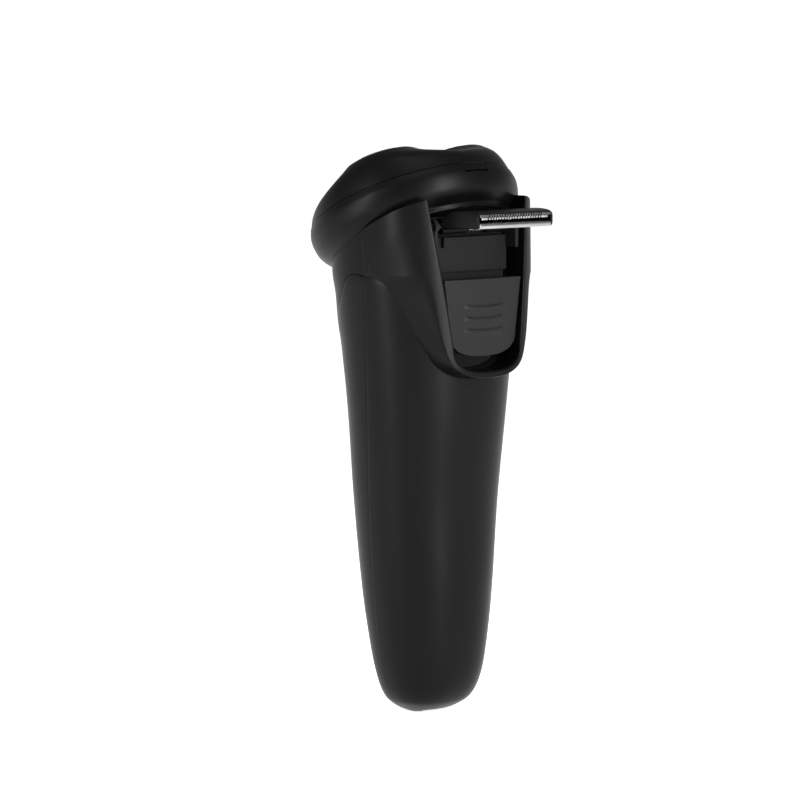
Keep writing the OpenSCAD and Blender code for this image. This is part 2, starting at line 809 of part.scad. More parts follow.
// Rounded cap over the blades' drive
module trimmer_cover() {
  color([0.14, 0.14, 0.15]) in_trimmer() difference() {
    translate([-trim_half, 0, 0]) rotate([90, 0, 90]) linear_extrude(2 * trim_half)
      polygon([
        [3.2, 0.95], [3.2, 2], [4.6, 3.2], [6.4, 4.1], [9, 4.6], [12.5, 4.6], [15.4, 4.3], [16.5, 3.9],
        [13.3, 3.85], [13.3, 0.95]
      ]);
    block([-12.4, 6.2, 0], [12.4, 14, 3.5]);
  }
}

// Row of teeth cut into a blade's front edge
module tooth_gaps(count, depth, low, high) {
  pitch = 0.95;
  for (k = [0:count - 2])
    block([(k - count / 2 + 1) * pitch - 0.2, trim_reach - depth, low],
          [(k - count / 2 + 1) * pitch + 0.2, trim_reach + 1, high]);
}

// Polished bar under the blades
module trimmer_bar() {
  color([0.82, 0.82, 0.84]) in_trimmer()
    block([-trim_half + 0.1, 13.6, -0.1], [trim_half - 0.1, trim_reach, 1.5]);
}

// Fixed upper blade with a row of teeth
module trimmer_comb() {
  color([0.8, 0.8, 0.82]) in_trimmer() difference() {
    block([-trim_half + 0.1, 13.6, 3.1], [trim_half - 0.1, trim_reach, 3.85]);
    tooth_gaps(22, 1.5, 2, 5);
  }
}

// Moving blade under the comb, with its own teeth and a slot for the lever
module trimmer_cutter() {
  color([0.7, 0.71, 0.74]) in_trimmer() difference() {
    block([-11.2, 13.6, 2.4], [11.2, trim_reach - 0.4, 3]);
    tooth_gaps(22, 1.9, 2, 5);
    block([-1.05, 13, 2], [1.05, 15, 4]);
  }
}

// Lever that turns about a post on the arm and swings the moving blade
module trimmer_lever() {
  color([0.88, 0.88, 0.84]) in_trimmer() difference() {
    union() {
      translate([0, lever_y, 2.2]) cylinder(h = 0.8, r = 2, $fn = 48);
      block([-0.7, lever_y + 1, 2.2], [0.7, 14, 3]);
      translate([0, 14.1, 2.2]) cylinder(h = 0.8, r = 0.75, $fn = 32);
    }
    translate([0, lever_y, 0]) cylinder(h = 4, r = 1.05, $fn = 32);
  }
}

// Thumb slider that stands up in the bay's mouth while the trimmer is out
module trimmer_slider() {
  lift = slider_travel + 0.2;
  color([0.27, 0.265, 0.26]) {
    difference() {
      intersection() {
        along_y(20.4, 27) bay_outline(slider_gap, lift, slider_top_z);
        translate([0, -25.2, 100]) rotate([3.2, 0, 0]) cylinder(h = 60, r = 49.6, center = true, $fn = 180);
      }
      for (k = [0:2])
        block([-7, 24, 108 + 3.2 * k], [7, 27, 109 + 3.2 * k]);
    }
    along_y(16.6, 20.4) translate([0, 112]) rounded(12, 10, 2);
  }
}

front_shell();
rear_shell();
front_collar();
rear_shroud();
trimmer_bay();
head_base();
head_frame();
head_hinge_pin();
guard_retainer();
guard(1);  // guard_1
guard(2);  // guard_2
guard(3);  // guard_3
cutter(1);  // cutter_1
cutter(2);  // cutter_2
cutter(3);  // cutter_3
spindle(1);  // spindle_1
spindle(2);  // spindle_2
spindle(3);  // spindle_3
drive_gear(1);  // drive_gear_1
drive_gear(2);  // drive_gear_2
drive_gear(3);  // drive_gear_3
spindle_seals();
gearbox_cover();
gearbox_screws();
motor_can();
motor_rotor();
motor_pinion();
motor_cradle();
motor_leads();
chassis();
chassis_screws();
battery_cell();
battery_contacts();
circuit_board();
board_parts();
power_switch();
power_button();
light_window();
charging_socket();
socket_seal();
release_button();
trimmer_bracket();
trimmer_hinge_pin();
trimmer_spring();
trimmer_arm();
trimmer_cover();
trimmer_bar();
trimmer_comb();
trimmer_cutter();
trimmer_lever();
trimmer_slider();
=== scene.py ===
"""Looks of the electric shaver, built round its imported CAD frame.

Lengths are in millimetres until a mesh is made, apart from those of the camera and the lights.
"""

import json
import math

import bmesh
import bpy
import numpy as np
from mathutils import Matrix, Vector


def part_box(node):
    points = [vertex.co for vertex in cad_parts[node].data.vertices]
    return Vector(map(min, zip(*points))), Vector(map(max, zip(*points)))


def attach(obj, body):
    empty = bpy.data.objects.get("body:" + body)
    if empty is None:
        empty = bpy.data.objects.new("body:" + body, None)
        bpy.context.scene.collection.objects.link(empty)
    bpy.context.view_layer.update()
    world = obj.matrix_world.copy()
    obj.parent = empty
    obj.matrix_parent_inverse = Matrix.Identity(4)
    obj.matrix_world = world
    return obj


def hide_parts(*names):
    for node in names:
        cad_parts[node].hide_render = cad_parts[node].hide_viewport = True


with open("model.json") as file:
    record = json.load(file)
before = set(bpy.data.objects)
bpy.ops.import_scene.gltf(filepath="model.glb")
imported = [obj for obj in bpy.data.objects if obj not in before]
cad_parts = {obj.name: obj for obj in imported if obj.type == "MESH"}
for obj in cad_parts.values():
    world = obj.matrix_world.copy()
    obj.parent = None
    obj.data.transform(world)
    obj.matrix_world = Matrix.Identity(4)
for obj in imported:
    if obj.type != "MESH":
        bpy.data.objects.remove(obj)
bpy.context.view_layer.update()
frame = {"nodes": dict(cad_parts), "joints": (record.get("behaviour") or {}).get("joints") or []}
NODES = frame["nodes"]
JOINTS = {j["name"]: j for j in frame["joints"]}
MM = 0.001

# ---- Places that come from the frame ----


def joint_place(name):
    return np.array(JOINTS[name]["pos_m"]) / MM


HEAD = joint_place("motor_spin")
HEAD_AXIS = np.array(JOINTS["motor_spin"]["axis"])
TILT = math.atan2(-HEAD_AXIS[1], HEAD_AXIS[2])
HINGE = joint_place("trimmer_fold")


def head_to_row(points):
    """Points given along the head's own axes, in the row frame."""
    p = np.asarray(points, float)
    c, s = math.cos(TILT), math.sin(TILT)
    return np.stack([
        HEAD[0] + p[..., 0],
        HEAD[1] + p[..., 1] * c - p[..., 2] * s,
        HEAD[2] + p[..., 1] * s + p[..., 2] * c,
    ], axis=-1)


def row_to_head(points):
    p = np.asarray(points, float) - HEAD
    c, s = math.cos(TILT), math.sin(TILT)
    return np.stack([
        p[..., 0],
        p[..., 1] * c + p[..., 2] * s,
        -p[..., 1] * s + p[..., 2] * c,
    ], axis=-1)


def box_middle(name):
    """Middle of a CAD node's box, in metres."""
    low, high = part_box(name)
    return (low + high) / 2


def cutter_centre(i):
    """Centre of cutter i across the head's axis."""
    return row_to_head(joint_place(f"cutter_spin_{i}"))[:2]


# ---- The handle's form ----

# Height, half width, depth to the front, depth to the back
BODY = np.array([
    [0, 5.9, 6.6, 3.4],
    [1.3, 8.6, 8.5, 7.2],
    [4, 12.1, 9.7, 11.3],
    [9.3, 14.4, 11.7, 14.3],
    [18, 16.1, 13.8, 15.9],
    [34, 18, 16.6, 17],
    [60, 19.9, 19.5, 17.9],
    [86, 22, 20.4, 20.3],
    [104, 23.6, 22.2, 21.6],
    [110, 24.2, 23.4, 21.6],
    [118, 25, 23.8, 21.8],
    [124, 25.6, 25, 21.8],
    [152, 26.8, 25.6, 21.2],
])
# Height, depth to the back
SHROUD = np.array([[88, 26.6], [101, 26.8], [121, 25.7], [141, 23.9], [152, 23]])
# Distance from the middle, height
SHIELD_EDGE = np.array([
    [0, 95.6], [7, 96.4], [12.8, 99.6], [16.4, 105.4], [19.7, 113], [23.2, 120.8], [25.6, 124.4],
])
COLLAR_EDGE = np.array([
    [0, 109.3], [10, 109.8], [17, 111.2], [21, 113.4], [23.5, 116.8], [24.8, 121], [25.8, 125.2],
])
# Exponents of the rounded sections: 2 is an ellipse, and more is squarer
BODY_SQUARE = 2.3
SHROUD_SQUARE = 3.2
NECK_CUT = -9.3
WALL = 1.8
KEY_FLANGE = 8.6


def curve(table, z, column):
    """A table's column where its first column is z, by a smooth cubic curve."""
    t = np.asarray(table, float)
    z = np.clip(np.asarray(z, float), t[0, 0], t[-1, 0])
    slope = np.empty(len(t))
    slope[1:-1] = (t[2:, column] - t[:-2, column]) / (t[2:, 0] - t[:-2, 0])
    slope[0] = (t[1, column] - t[0, column]) / (t[1, 0] - t[0, 0])
    slope[-1] = (t[-1, column] - t[-2, column]) / (t[-1, 0] - t[-2, 0])
    i = np.clip(np.searchsorted(t[:, 0], z, side="right") - 1, 0, len(t) - 2)
    gap = t[i + 1, 0] - t[i, 0]
    s = (z - t[i, 0]) / gap
    return (
        (2 * s**3 - 3 * s**2 + 1) * t[i, column]
        + (s**3 - 2 * s**2 + s) * gap * slope[i]
        + (3 * s**2 - 2 * s**3) * t[i + 1, column]
        + (s**3 - s**2) * gap * slope[i + 1]
    )


def spower(v, n):
    """A sine or cosine of the angle, as a rounded section of exponent n takes it."""
    return np.sign(v) * np.abs(v) ** (2 / n)


def section(a, z, inset=0.0, raised=False):
    """Points on the handle at angles a and heights z, shrunk by inset. Raised takes the rear surround's form."""
    a, z = np.broadcast_arrays(np.asarray(a, float), np.asarray(z, float))
    back = np.sin(a) > 0
    n = np.where(back & raised, SHROUD_SQUARE, BODY_SQUARE)
    rear = curve(SHROUD, z, 1) if raised else curve(BODY, z, 3)
    depth = np.where(back, rear, curve(BODY, z, 2)) - inset
    half = curve(BODY, z, 1) - inset
    return np.stack([half * spower(np.cos(a), n), depth * spower(np.sin(a), n), z], axis=-1)


def smoothstep(t):
    t = np.clip(t, 0, 1)
    return t * t * (3 - 2 * t)


def seam_y(z):
    """Where the side seam lies along Y at height z."""
    return -2 + 5 * smoothstep((np.asarray(z, float) - 45) / 85)


def seam_angle(z, raised=False):
    """Angle round the handle at which its right side meets the seam."""
    y = seam_y(z)
    n = SHROUD_SQUARE if raised else BODY_SQUARE
    rear = curve(SHROUD, z, 1) if raised else curve(BODY, z, 3)
    ahead = np.arcsin(np.clip(-y / curve(BODY, z, 2), 0, 1) ** (BODY_SQUARE / 2))
    behind = np.arcsin(np.clip(y / rear, 0, 1) ** (n / 2))
    return np.where(y < 0, -ahead, behind)


def neck_z(x, y):
    """Height of the sloping plane where the handle ends under the head."""
    return HEAD[2] + (NECK_CUT + (y - HEAD[1]) * math.sin(TILT)) / math.cos(TILT)


def settle(height_at, start, rounds=30):
    """The height at which a border's own height rule holds."""
    z = np.asarray(start, float)
    for _ in range(rounds):
        z = 0.5 * z + 0.5 * height_at(z)
    return z


# ---- Mesh making ----


def quads(nu, nv, start=0, wrap_u=False, wrap_v=False, flip=False):
    """Faces of a grid of nu by nv points that begins at index start."""
    faces = []
    for u in range(nu if wrap_u else nu - 1):
        for v in range(nv if wrap_v else nv - 1):
            a, b = start + u * nv + v, start + (u + 1) % nu * nv + v
            c, d = start + (u + 1) % nu * nv + (v + 1) % nv, start + u * nv + (v + 1) % nv
            faces.append((d, c, b, a) if flip else (a, b, c, d))
    return faces


def thick(outer, inner, wrap_u=False):
    """Closed wall between two grids of the same size."""
    nu, nv = outer.shape[:2]
    points = np.concatenate([outer.reshape(-1, 3), inner.reshape(-1, 3)])
    k = nu * nv
    faces = quads(nu, nv, 0, wrap_u) + quads(nu, nv, k, wrap_u, flip=True)
    for v in (0, nv - 1):
        for u in range(nu if wrap_u else nu - 1):
            a, b = u * nv + v, (u + 1) % nu * nv + v
            faces.append((a, b, b + k, a + k) if v else (b, a, a + k, b + k))
    if not wrap_u:
        for u in (0, nu - 1):
            for v in range(nv - 1):
                a = u * nv + v
                faces.append((a + 1, a, a + k, a + k + 1) if u else (a, a + 1, a + k + 1, a + k))
    return points, faces


def turned(profile, count, stretch=None):
    """Closed solid from a closed outline of (radius, height) turned round the Z axis."""
    profile = np.asarray(profile, float)
    a = np.linspace(0, 2 * math.pi, count, endpoint=False)
    r = profile[None, :, 0] * (np.ones(count) if stretch is None else stretch(a))[:, None]
    points = np.stack([r * np.cos(a)[:, None], r * np.sin(a)[:, None],
                       np.broadcast_to(profile[None, :, 1], r.shape)], axis=-1)
    return points.reshape(-1, 3), quads(count, len(profile), wrap_u=True, wrap_v=True)


def prism(outline, low, high, axis):
    """Closed solid from an outline in the other two axes, in order, pushed along an axis from low to high."""
    outline = np.asarray(outline, float)
    n = len(outline)
    rings = [np.insert(outline, axis, level, axis=1) for level in (low, high)]
    faces = [tuple(range(n)), tuple(range(2 * n - 1, n - 1, -1))]
    faces += [(k, k + n, (k + 1) % n + n, (k + 1) % n) for k in range(n)]
    return np.concatenate(rings), faces


def joined(*parts):
    """One set of points and faces from several."""
    points, faces, start = [], [], 0
    for p, f in parts:
        points.append(np.asarray(p, float))
        faces += [tuple(i + start for i in face) for face in f]
        start += len(p)
    return np.concatenate(points), faces


def moved(part, change):
    return change(np.asarray(part[0], float)), part[1]


def box_part(low, high):
    corners = [(low[0], low[1]), (high[0], low[1]), (high[0], high[1]), (low[0], high[1])]
    return prism(corners, low[2], high[2], 2)


def rounded_outline(half_x, half_y, radius, steps=6):
    points = []
    for k, (sx, sy) in enumerate([(1, 1), (-1, 1), (-1, -1), (1, -1)]):
        for i in range(steps + 1):
            a = math.pi / 2 * (k + i / steps)
            points.append((sx * (half_x - radius) + radius * math.cos(a),
                           sy * (half_y - radius) + radius * math.sin(a)))
    return points


def raw_object(name, part):
    mesh = bpy.data.meshes.new(name)
    mesh.from_pydata((part[0] * MM).tolist(), [], part[1])
    bm = bmesh.new()
    bm.from_mesh(mesh)
    bmesh.ops.remove_doubles(bm, verts=bm.verts, dist=2e-6)
    bmesh.ops.dissolve_degenerate(bm, dist=1e-6, edges=bm.edges)
    bmesh.ops.recalc_face_normals(bm, faces=bm.faces)
    bm.to_mesh(mesh)
    bm.free()
    obj = bpy.data.objects.new(name, mesh)
    bpy.context.scene.collection.objects.link(obj)
    return obj


def bake_modifiers(obj):
    mesh = bpy.data.meshes.new_from_object(obj.evaluated_get(bpy.context.evaluated_depsgraph_get()))
    obj.modifiers.clear()
    old = obj.data
    obj.data = mesh
    bpy.data.meshes.remove(old)


def carve(obj, parts, operation="DIFFERENCE"):
    """Takes each part out of obj, or adds it."""
    for part in parts:
        tool = raw_object("carving_tool", part)
        cut = obj.modifiers.new("carve", "BOOLEAN")
        cut.operation = operation
        cut.solver = "EXACT"
        cut.object = tool
        bpy.context.view_layer.update()
        bake_modifiers(obj)
        bpy.data.objects.remove(tool)
    return obj


def dress(obj, body, material, replaces=(), bevel=0.0, bevel_angle=40, segments=3,
          sharp_angle=40):
    """Rounds the edges, smooths the shading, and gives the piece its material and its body."""
    if bevel:
        round_off = obj.modifiers.new("bevel", "BEVEL")
        round_off.width = bevel * MM
        round_off.segments = segments
        round_off.limit_method = "ANGLE"
        round_off.angle_limit = math.radians(bevel_angle)
        round_off.use_clamp_overlap = True
        bpy.context.view_layer.update()
        bake_modifiers(obj)
    mesh = obj.data
    mesh.polygons.foreach_set("use_smooth", [True] * len(mesh.polygons))
    mesh.set_sharp_from_angle(angle=math.radians(sharp_angle))
    mesh.materials.clear()
    mesh.materials.append(material)
    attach(obj, body)
    if replaces:
        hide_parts(*replaces)
    return obj


# ---- Materials ----


class Nodes:
    """Short calls for building one material."""

    def __init__(self, name):
        self.material = bpy.data.materials.new(name)
        self.material.use_nodes = True
        self.tree = self.material.node_tree
        self.shader = self.tree.nodes["Principled BSDF"]
        self.place = self.add("ShaderNodeTexCoord").outputs["Object"]

    def add(self, kind, **values):
        node = self.tree.nodes.new(kind)
        for key, value in values.items():
            setattr(node, key, value)
        return node

    def link(self, a, b):
        self.tree.links.new(a, b)

    def noise(self, scale, detail=3.0, rough=0.5, stretch=None):
        source = self.place
        if stretch:
            mapping = self.add("ShaderNodeMapping")
            mapping.inputs["Scale"].default_value = stretch
            self.link(source, mapping.inputs["Vector"])
            source = mapping.outputs["Vector"]
        node = self.add("ShaderNodeTexNoise")
        node.inputs["Scale"].default_value = scale
        node.inputs["Detail"].default_value = detail
        node.inputs["Roughness"].default_value = rough
        self.link(source, node.inputs["Vector"])
        return node.outputs["Fac"]

    def spread(self, value, low, high, start=0.3, end=0.7):
        node = self.add("ShaderNodeMapRange")
        node.inputs["From Min"].default_value = start
        node.inputs["From Max"].default_value = end
        node.inputs["To Min"].default_value = low
        node.inputs["To Max"].default_value = high
        self.link(value, node.inputs["Value"])
        return node.outputs["Result"]

    def colours(self, value, low, high, start=0.3, end=0.7):
        node = self.add("ShaderNodeValToRGB")
        node.color_ramp.elements[0].position = start
        node.color_ramp.elements[0].color = (*low, 1)
        node.color_ramp.elements[1].position = end
        node.color_ramp.elements[1].color = (*high, 1)
        self.link(value, node.inputs["Fac"])
        return node.outputs["Color"]

    def bump(self, value, distance, strength=1.0, below=None):
        node = self.add("ShaderNodeBump")
        node.inputs["Distance"].default_value = distance * MM
        node.inputs["Strength"].default_value = strength
        self.link(value, node.inputs["Height"])
        if below is not None:
            self.link(below, node.inputs["Normal"])
        return node.outputs["Normal"]


def scaled(colour, k):
    return tuple(min(1, c * k) for c in colour)


def plastic(name, colour, rough, grain_mm=0.35, grain_depth=0.012, specular=0.085):
    """Moulded plastic: spark-eroded grain, a slow change of gloss, and faint handling marks."""
    m = Nodes(name)
    grain = m.noise(1 / (grain_mm * MM), 4, 0.6)
    slow = m.noise(38, 3, 0.55)
    marks = m.noise(420, 2, 0.5, (1, 1, 0.25))
    tint = m.colours(slow, scaled(colour, 0.88), scaled(colour, 1.14))
    m.link(tint, m.shader.inputs["Base Color"])
    mixed = m.add("ShaderNodeMath", operation="MULTIPLY_ADD")
    m.link(marks, mixed.inputs[0])
    mixed.inputs[1].default_value = 0.35
    m.link(slow, mixed.inputs[2])
    gloss = m.spread(mixed.outputs[0], rough - 0.035, rough + 0.05, 0.45, 0.9)
    m.link(gloss, m.shader.inputs["Roughness"])
    m.link(m.bump(grain, grain_depth, 0.6, m.bump(slow, 0.02, 0.15)), m.shader.inputs["Normal"])
    m.shader.inputs["Specular IOR Level"].default_value = specular
    return m.material


def metal(name, colour, rough, stretch=(1, 1, 1), line_scale=900, line_depth=0.004):
    """Ground or polished steel with fine lines along one direction."""
    m = Nodes(name)
    lines = m.noise(line_scale, 2, 0.5, stretch)
    cloud = m.noise(160, 4, 0.6)
    m.link(m.colours(cloud, scaled(colour, 0.9), scaled(colour, 1.05)), m.shader.inputs["Base Color"])
    m.link(m.spread(lines, rough * 0.75, rough * 1.3), m.shader.inputs["Roughness"])
    m.link(m.bump(lines, line_depth, 0.5), m.shader.inputs["Normal"])
    m.shader.inputs["Metallic"].default_value = 1
    return m.material


def rubber(name, colour):
    m = Nodes(name)
    grain = m.noise(2400, 3, 0.6)
    dust = m.noise(300, 4, 0.6)
    m.link(m.colours(dust, scaled(colour, 0.85), scaled(colour, 1.35)), m.shader.inputs["Base Color"])
    m.link(m.spread(dust, 0.62, 0.8), m.shader.inputs["Roughness"])
    m.link(m.bump(grain, 0.01, 0.5), m.shader.inputs["Normal"])
    m.shader.inputs["Specular IOR Level"].default_value = 0.3
    return m.material


def copper_winding(name, colour):
    """Enamelled wire: fine turns that run round a steel core."""
    m = Nodes(name)
    wave = m.add("ShaderNodeTexWave", bands_direction="Z")
    wave.inputs["Scale"].default_value = 620
    wave.inputs["Distortion"].default_value = 0.6
    m.link(m.place, wave.inputs["Vector"])
    tint = m.colours(wave.outputs["Fac"], scaled(colour, 0.45), colour, 0.2, 0.8)
    m.link(tint, m.shader.inputs["Base Color"])
    m.link(m.bump(wave.outputs["Fac"], 0.12, 0.8), m.shader.inputs["Normal"])
    m.shader.inputs["Metallic"].default_value = 0.9
    m.shader.inputs["Roughness"].default_value = 0.38
    return m.material


def circuit(name, colour):
    """Solder mask with copper tracks that show faintly through it."""
    m = Nodes(name)
    brick = m.add("ShaderNodeTexBrick")
    brick.inputs["Scale"].default_value = 260
    brick.inputs["Mortar Size"].default_value = 0.03
    brick.inputs["Color1"].default_value = (*colour, 1)
    brick.inputs["Color2"].default_value = (*scaled(colour, 1.25), 1)
    brick.inputs["Mortar"].default_value = (*scaled(colour, 2.4), 1)
    m.link(m.place, brick.inputs["Vector"])
    m.link(brick.outputs["Color"], m.shader.inputs["Base Color"])
    m.link(m.spread(m.noise(500), 0.28, 0.42), m.shader.inputs["Roughness"])
    m.link(m.bump(brick.outputs["Fac"], 0.03, 0.4), m.shader.inputs["Normal"])
    return m.material


SHELL = plastic("shell_black", (0.0021, 0.0021, 0.0024), 0.34)
TRIM = plastic("trim_black", (0.0018, 0.0018, 0.002), 0.37, 0.3)
SLIDER = plastic("slider_grey", (0.0125, 0.012, 0.012), 0.46, 0.28, 0.014)
BUTTON = plastic("button_satin", (0.008, 0.008, 0.0085), 0.3, 0.22, 0.006, 0.3)
# Inner parts: partly their own dark grey, and partly painted shade, darkened so the trimmer bay, its bracket and
# the slot above the slider look shaded
INNER_AND_PAINTED_SHADE = plastic("inner_grey_and_painted_shade", (0.0095, 0.0095, 0.01), 0.5, 0.4, 0.02)
GEAR = plastic("acetal", (0.72, 0.7, 0.64), 0.38, 0.5, 0.008, 0.5)
CELL = plastic("cell_sleeve", (0.04, 0.2, 0.12), 0.3, 0.6, 0.004, 0.5)
CHIP = plastic("chip_epoxy", (0.015, 0.015, 0.016), 0.55, 0.2, 0.014)
WINDOW = plastic("window_diffuser", (0.35, 0.37, 0.39), 0.3, 0.3, 0.004, 0.5)
BLADE = metal("blade_polished", (0.36, 0.355, 0.35), 0.2, (0.15, 1, 1), 2600, 0.002)
COMB = metal("comb_ground", (0.1, 0.099, 0.097), 0.34, (1, 0.15, 1), 2200, 0.004)
GUARD = metal("guard_steel", (0.5, 0.5, 0.51), 0.24, (1, 1, 0.3), 1800, 0.003)
CUTTER = metal("cutter_steel", (0.4, 0.4, 0.41), 0.32, (1, 0.2, 1), 1500)
PIN = metal("drawn_steel", (0.4, 0.4, 0.41), 0.3, (0.1, 1, 1), 1200)
CAN = metal("plated_can", (0.5, 0.5, 0.52), 0.36, (1, 1, 0.15), 1000)
BRASS = metal("machined_brass", (0.62, 0.42, 0.18), 0.28, (1, 1, 0.3), 1200)
SEAL = rubber("seal_silicone", (0.012, 0.012, 0.013))
LEAD = rubber("lead_jacket", (0.3, 0.018, 0.013))
COPPER = copper_winding("winding", (0.62, 0.3, 0.12))
BOARD = circuit("solder_mask", (0.01, 0.09, 0.035))

# ---- Handle covers ----


def base_rows(count):
    """Height shares that crowd towards the rounded base."""
    return np.linspace(0, 1, count) ** 1.7


def handle_cover(left, right, top_edge, columns=97, rows=110, base=10):
    """Wall patch between two angles round the handle, from the flat base to an edge above."""
    s = np.linspace(0, 1, columns)

    def angle(z, share=s):
        return left(z) + (right(z) - left(z)) * share

    def border(z):
        p = section(angle(z), z)
        return top_edge(p[..., 0], p[..., 1])

    top = settle(border, np.full(columns, 110.0))
    shrink = np.linspace(0, 1, base, endpoint=False)
    walls = []
    for bottom, inset in ((0, 0), (WALL, WALL)):
        z = bottom + base_rows(rows)[None, :] * (top[:, None] - bottom)
        wall = section(angle(z, s[:, None]), z, inset)
        centre = np.array([0, float(seam_y(0)), bottom])
        fill = centre + (wall[:, :1] - centre) * shrink[None, :, None]
        walls.append(np.concatenate([fill, wall], axis=1))
    return thick(*walls)


def make_front_shell():
    part = handle_cover(
        lambda z: math.pi - seam_angle(z),
        lambda z: 2 * math.pi + seam_angle(z),
        lambda x, _: curve(COLLAR_EDGE, np.abs(x), 1),
    )
    obj = raw_object("front_cover", part)
    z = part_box("power_button")[0].z / MM + KEY_FLANGE
    hole = turned([(0, -30), (7.85, -30), (7.85, 0), (0, 0)], 96)
    button_hole = moved(hole, lambda p: np.stack([p[:, 0], p[:, 2], p[:, 1] + z], axis=-1))
    outline = np.array(rounded_outline(4.6, 1.3, 1.29)) + [0, (box_middle("light_window") / MM).z]
    slot_hole = prism(outline, -40, 0, 1)
    carve(obj, [button_hole, slot_hole])
    dress(obj, "handle", SHELL, ["front_shell"], 0.28)


TUCK, TUCK_FROM, TUCK_FADE = 1.5, 25.3, 2


def under_surround(x, _):
    """The rear cover's upper edge, tucked in behind the surround's lip."""
    x = np.abs(x)
    return curve(SHIELD_EDGE, x, 1) + TUCK * smoothstep((TUCK_FROM - x) / TUCK_FADE)


def make_rear_shell():
    part = handle_cover(seam_angle, lambda z: math.pi - seam_angle(z), under_surround)
    obj = raw_object("rear_cover", part)
    outline = np.array(rounded_outline(4.75, 1.9, 1.89)) + [0, (box_middle("charging_socket") / MM).y]
    carve(obj, [prism(outline, -5, 9, 2)])
    dress(obj, "handle", SHELL, ["rear_shell"], 0.28)


COLLAR_GAP = 0.12


def make_front_collar(columns=97, rows=24):
    s = np.linspace(0, 1, columns)

    def angle(z, share=s):
        left, right = math.pi - seam_angle(z), 2 * math.pi + seam_angle(z)
        return left + (right - left) * share

    def low_edge(z):
        return curve(COLLAR_EDGE, np.abs(section(angle(z), z)[..., 0]), 1) + COLLAR_GAP

    def high_edge(z):
        p = section(angle(z), z)
        return neck_z(p[..., 0], p[..., 1])

    low = settle(low_edge, np.full(columns, 118.0))
    high = settle(high_edge, np.full(columns, 126.0))
    z = low[:, None] + (high - low)[:, None] * np.linspace(0, 1, rows)[None, :]
    a = angle(z, s[:, None])
    dress(raw_object("neck_collar", thick(section(a, z), section(a, z, WALL))),
          "handle", TRIM, ["front_collar"], 0.28)


# ---- Rear surround round the trimmer bay ----

BAY_TOP_HALF, BAY_TOP_Z = 17.5, 144.0
BAY_FOOT_HALF, BAY_FOOT_Z, BAY_FOOT_DROP = 12.0, 105.0, 6.7
BAY_ROUND = 2.6
SURROUND_DEPTH = 3.6
OUTER_LIP, BAY_LIP = 0.15, 0.7
UNDER_BODY = 0.25


def bay_half(z):
    """Half width of the bay's opening at height z."""
    rise = BAY_TOP_Z - BAY_FOOT_Z
    return BAY_FOOT_HALF + (BAY_TOP_HALF - BAY_FOOT_HALF) * (z - BAY_FOOT_Z) / rise


def resample(points, count):
    """Points evenly spaced along a path."""
    points = np.asarray(points, float)
    length = np.concatenate([[0], np.cumsum(np.linalg.norm(np.diff(points, axis=0), axis=1))])
    at = np.linspace(0, length[-1], count)
    return np.stack([np.interp(at, length, points[:, k]) for k in range(points.shape[1])], axis=-1)


def angle_at(x, z):
    """Angle round the surround's section at a distance x from the middle."""
    return np.arccos(np.clip(np.abs(x) / curve(BODY, z, 1), 0, 1) ** (SHROUD_SQUARE / 2))


def roll_off(distance, radius):
    """How far a rounded edge has dropped at a distance in from it."""
    d = np.clip(radius - distance, 0, radius)
    return radius - np.sqrt(np.maximum(radius**2 - d**2, 0))


def body_depth(x, z, inset):
    """Depth of the handle's back at a place across it, shrunk by inset."""
    half, depth = curve(BODY, z, 1) - inset, curve(BODY, z, 3) - inset
    ratio = np.clip(np.abs(x) / half, 0, 0.985)
    return depth * (1 - ratio**BODY_SQUARE) ** (1 / BODY_SQUARE)


def surround_grid(t, side_rows, foot_rows):
    """Angles and heights of the surround's right half, from the bay's edge (t is 0) to its border (1)."""
    corner_z = SHIELD_EDGE[-1, 1]
    # Side part: from the neck plane down to the shoulder of the shield's edge
    fall = np.linspace(0, 1, side_rows, endpoint=False)

    def side_angle(z):
        return angle_at(bay_half(z), z) * (1 - t) + seam_angle(z, True) * t

    def top_edge(z):
        p = section(side_angle(z), z, raised=True)
        return neck_z(p[..., 0], p[..., 1])

    top = settle(top_edge, np.full(len(t), 136.0))
    z_side = top[None, :] + (corner_z - top)[None, :] * fall[:, None]
    a_side = side_angle(z_side)
    # Foot part: round the bay's end on the inside and along the shield's edge on the outside
    theta = np.linspace(0, math.pi / 2, 60)
    arc = np.stack([BAY_FOOT_HALF * spower(np.cos(theta), BAY_ROUND),
                    BAY_FOOT_Z - BAY_FOOT_DROP * spower(np.sin(theta), BAY_ROUND)], axis=-1)
    inner_path = resample(np.concatenate([[[bay_half(corner_z), corner_z]], arc]), foot_rows)
    x_edge = np.linspace(SHIELD_EDGE[-1, 0], 0, 200)
    outer_path = resample(np.stack([x_edge, curve(SHIELD_EDGE, x_edge, 1)], axis=-1), foot_rows)
    a_in = angle_at(inner_path[:, 0], inner_path[:, 1])
    a_out = angle_at(outer_path[:, 0], outer_path[:, 1])
    a_out[0] = seam_angle(corner_z, True)
    a_foot = a_in[:, None] * (1 - t) + a_out[:, None] * t
    z_foot = inner_path[:, 1:] * (1 - t) + outer_path[:, 1:] * t
    return np.concatenate([a_side, a_foot]), np.concatenate([z_side, z_foot])


